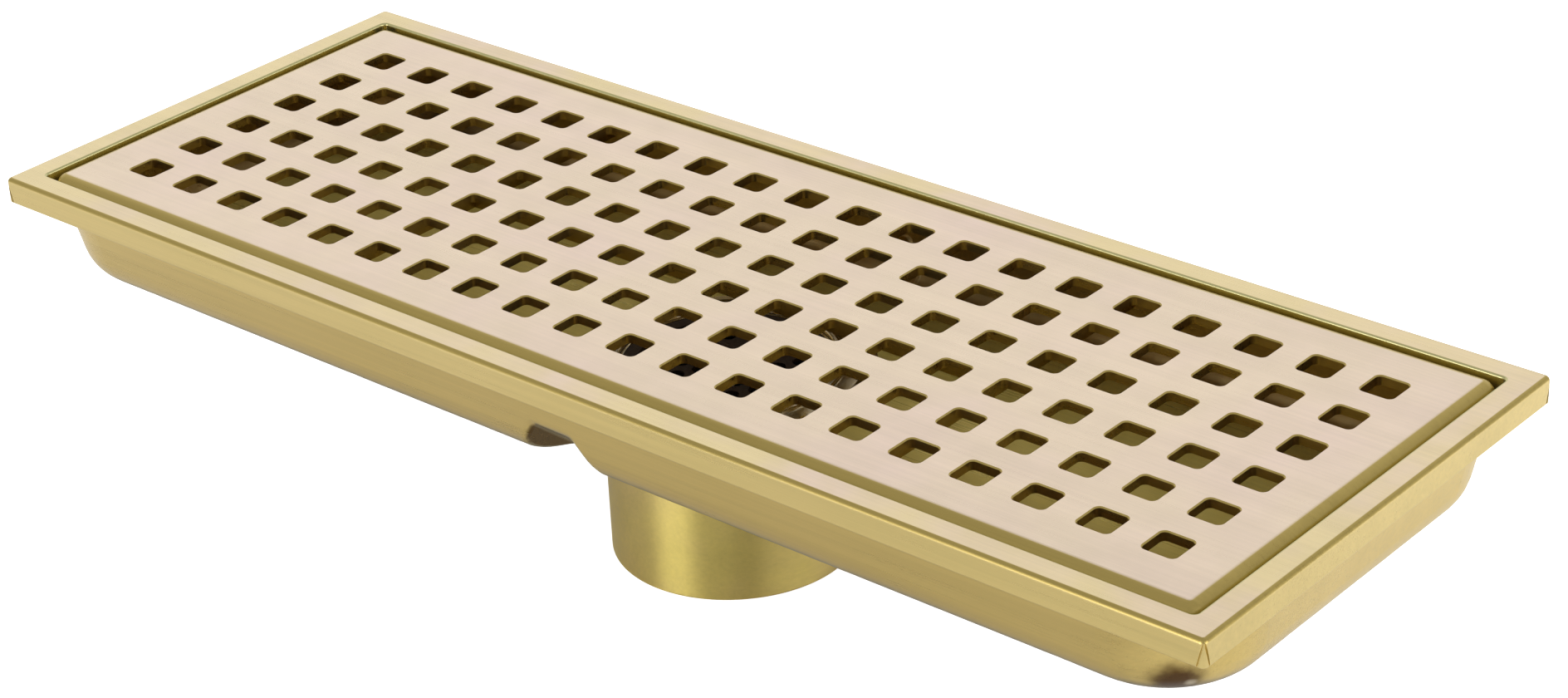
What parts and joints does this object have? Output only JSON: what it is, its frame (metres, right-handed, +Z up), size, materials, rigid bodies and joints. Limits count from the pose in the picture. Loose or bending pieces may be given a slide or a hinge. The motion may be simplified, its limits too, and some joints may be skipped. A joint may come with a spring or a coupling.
{
  "type": "floor drain grate",
  "caption": "Rectangular shower floor drain: lift-out square-hole grate in a rim frame, deep-drawn tray, round outlet and a self-closing trap core.",
  "frame": {"origin": "centre of the outlet spigot's lower end, under the middle of the drain", "axes": "+Z up, out of the grate's top face; +X along the drain's length; +Y across it"},
  "size_m": [0.3, 0.11, 0.06],
  "materials": {
    "brushed_gold": "brushed gold, satin",
    "grate_gold": "pale brushed gold, satin",
    "polished_ring": "polished",
    "silicone": "soft matte",
    "dark_plastic": "moulded, fine grain",
    "core_plastic": "moulded, satin",
    "magnet_plating": "nickel plate",
    "stem_steel": "turned",
    "black_rubber": "matte"
  },
  "bodies": {
    "drain_body": {"rim_frame": "brushed_gold", "ledge_frame": "brushed_gold", "tray": "brushed_gold", "outlet_spigot": "brushed_gold", "spigot_collar": "brushed_gold", "rest_pads": "silicone"},
    "grate": {"grate_plate": "grate_gold", "left_cross_rib": "grate_gold", "right_cross_rib": "grate_gold", "centre_rib": "grate_gold"},
    "strainer": {"hair_strainer": "dark_plastic", "strainer_handle": "dark_plastic"},
    "trap_core": {"core_top_ring": "polished_ring", "core_gasket": "silicone", "core_cup": "core_plastic", "core_bridge": "core_plastic", "bridge_magnet": "magnet_plating", "upper_o_ring": "black_rubber", "lower_o_ring": "black_rubber"},
    "valve": {"valve_stem": "stem_steel", "stem_magnet": "magnet_plating", "valve_disc": "core_plastic", "valve_gasket": "silicone", "stem_nut": "stem_steel"}
  },
  "joints": [
    {"name": "grate_lift", "type": "slide", "parent": "drain_body", "child": "grate", "axis": [0, 0, 1], "range_m": [0, 0.12]},
    {"name": "strainer_lift", "type": "slide", "parent": "drain_body", "child": "strainer", "axis": [0, 0, 1], "range_m": [0, 0.09]},
    {"name": "core_lift", "type": "slide", "parent": "drain_body", "child": "trap_core", "axis": [0, 0, 1], "range_m": [0, 0.06]},
    {"name": "valve_drop", "type": "slide", "parent": "trap_core", "child": "valve", "axis": [0, 0, -1], "range_m": [0, 0.007], "stiffness_N_per_m": 40, "springref_m": -0.012}
  ],
  "couplings": [
    {"joint": "strainer_lift", "follows": "grate_lift", "ratio": 0.75},
    {"joint": "core_lift", "follows": "grate_lift", "ratio": 0.5}
  ]
}
